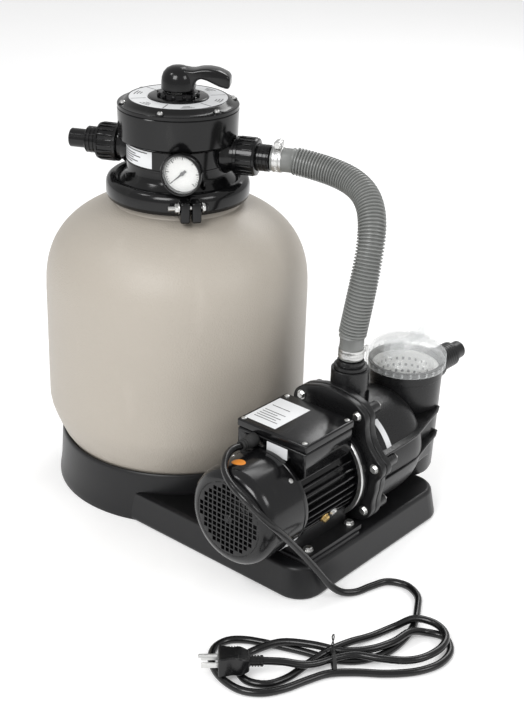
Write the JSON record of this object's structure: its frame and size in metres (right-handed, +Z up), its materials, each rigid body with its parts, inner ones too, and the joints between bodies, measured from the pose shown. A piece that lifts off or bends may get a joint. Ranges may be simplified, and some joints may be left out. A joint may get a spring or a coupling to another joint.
{
  "type": "pool pump and sand filter set",
  "caption": "Above-ground pool filter set: sand tank with top multiport valve, gauge and hose, and a strainer pump with motor and coiled mains cord on a moulded base.",
  "frame": {"origin": "on the floor under the tank's axis, at the base's middle pad", "axes": "+X from the tank to the pump platform, +Y along the motor shaft from its fan to the strainer pot, +Z up"},
  "size_m": [0.681, 0.5816, 0.5395],
  "materials": {
    "tank_plastic": "satin textured",
    "base_plastic": "satin textured",
    "valve_plastic": "gloss",
    "pump_plastic": "satin",
    "motor_black": "satin black",
    "hose_plastic": "corrugated, satin",
    "plated_steel": "zinc plated",
    "iron": "laminated",
    "rubber": "matte",
    "inner_plastic": "matte",
    "white_plastic": "satin",
    "clear_plastic": "clear",
    "seal_ceramic": "lapped",
    "cord_rubber": "satin"
  },
  "bodies": {
    "housing": {"base_tray": "base_plastic", "tank_shell": "tank_plastic", "standpipe": "inner_plastic", "lateral_hub": "inner_plastic", "neck_oring": "rubber", "clamp_half_left": "valve_plastic", "clamp_half_right": "valve_plastic", "clamp_bolt_front": "plated_steel", "clamp_bolt_rear": "plated_steel", "clamp_nut_front": "plated_steel", "clamp_nut_rear": "plated_steel", "valve_body": "valve_plastic", "valve_gasket": "rubber", "valve_cover": "valve_plastic", "valve_spring": "plated_steel", "gauge_case": "valve_plastic", "gauge_dial": "white_plastic", "gauge_lens": "clear_plastic", "pump_port_nut": "valve_plastic", "return_port_nut": "valve_plastic", "pump_adapter": "valve_plastic", "return_adapter": "valve_plastic", "waste_cap": "valve_plastic", "transfer_hose": "hose_plastic", "hose_clamp_top": "plated_steel", "hose_clamp_bottom": "plated_steel", "pump_body": "pump_plastic", "seal_plate": "pump_plastic", "discharge_adapter": "pump_plastic", "suction_adapter": "pump_plastic", "drain_plug": "pump_plastic", "mechanical_seal": "seal_ceramic", "motor_frame": "motor_black", "motor_flange": "motor_black", "rear_bell": "motor_black", "stator": "iron", "bearing_front": "plated_steel", "bearing_rear": "plated_steel", "fan_cover": "motor_black", "terminal_box": "motor_black", "terminal_lid": "motor_black", "capacitor": "inner_plastic", "cable_gland": "rubber", "foot_bracket": "pump_plastic", "cord_lead": "cord_rubber", "cord_hank": "cord_rubber", "mains_plug": "cord_rubber"},
    "turntable": {"handle_washer": "plated_steel"},
    "valve_core": {"valve_rotor": "inner_plastic", "handle_pin": "plated_steel"},
    "handle": {"valve_handle": "valve_plastic"},
    "needle": {"gauge_needle": "valve_plastic"},
    "motor_rotor": {"motor_shaft": "iron", "cooling_fan": "inner_plastic", "impeller": "inner_plastic"},
    "lid_seal": {"lid_oring": "rubber"},
    "lid": {"strainer_lid": "clear_plastic"},
    "basket": {"strainer_basket": "white_plastic"}
  },
  "joints": [
    {"name": "valve_turn", "type": "hinge", "parent": "housing", "child": "turntable", "pos_m": [0, 0, 0.509], "axis": [0, 0, 1], "continuous": true},
    {"name": "stem_lift", "type": "slide", "parent": "turntable", "child": "valve_core", "axis": [0, 0, 1], "range_m": [0, 0.003], "deforming": ["valve_spring"]},
    {"name": "handle_press", "type": "hinge", "parent": "valve_core", "child": "handle", "pos_m": [0, 0, 0.519], "axis": [-0.5736, 0.8192, 0], "range_deg": [0, 10], "stiffness_Nm_per_rad": 5},
    {"name": "gauge_needle_turn", "type": "hinge", "parent": "housing", "child": "needle", "pos_m": [0.02902, 0.01372, 0.433], "axis": [-0.4274, 0.9041, 0], "range_deg": [0, 264], "stiffness_Nm_per_rad": 0.001},
    {"name": "motor_spin", "type": "hinge", "parent": "housing", "child": "motor_rotor", "pos_m": [0.261, 0, 0.108], "axis": [0, 1, 0], "continuous": true},
    {"name": "lid_lift", "type": "slide", "parent": "housing", "child": "lid_seal", "axis": [0, 0, 1], "range_m": [0, 0.25]},
    {"name": "lid_turn", "type": "hinge", "parent": "lid_seal", "child": "lid", "pos_m": [0.261, 0.14, 0.19], "axis": [0, 0, 1], "continuous": true},
    {"name": "basket_lift", "type": "slide", "parent": "housing", "child": "basket", "axis": [0, 0, 1], "range_m": [0, 0.15]}
  ],
  "couplings": [
    {"joint": "stem_lift", "follows": "handle_press", "m_per_rad": 0.01718},
    {"joint": "basket_lift", "follows": "lid_lift", "ratio": 0.6}
  ]
}
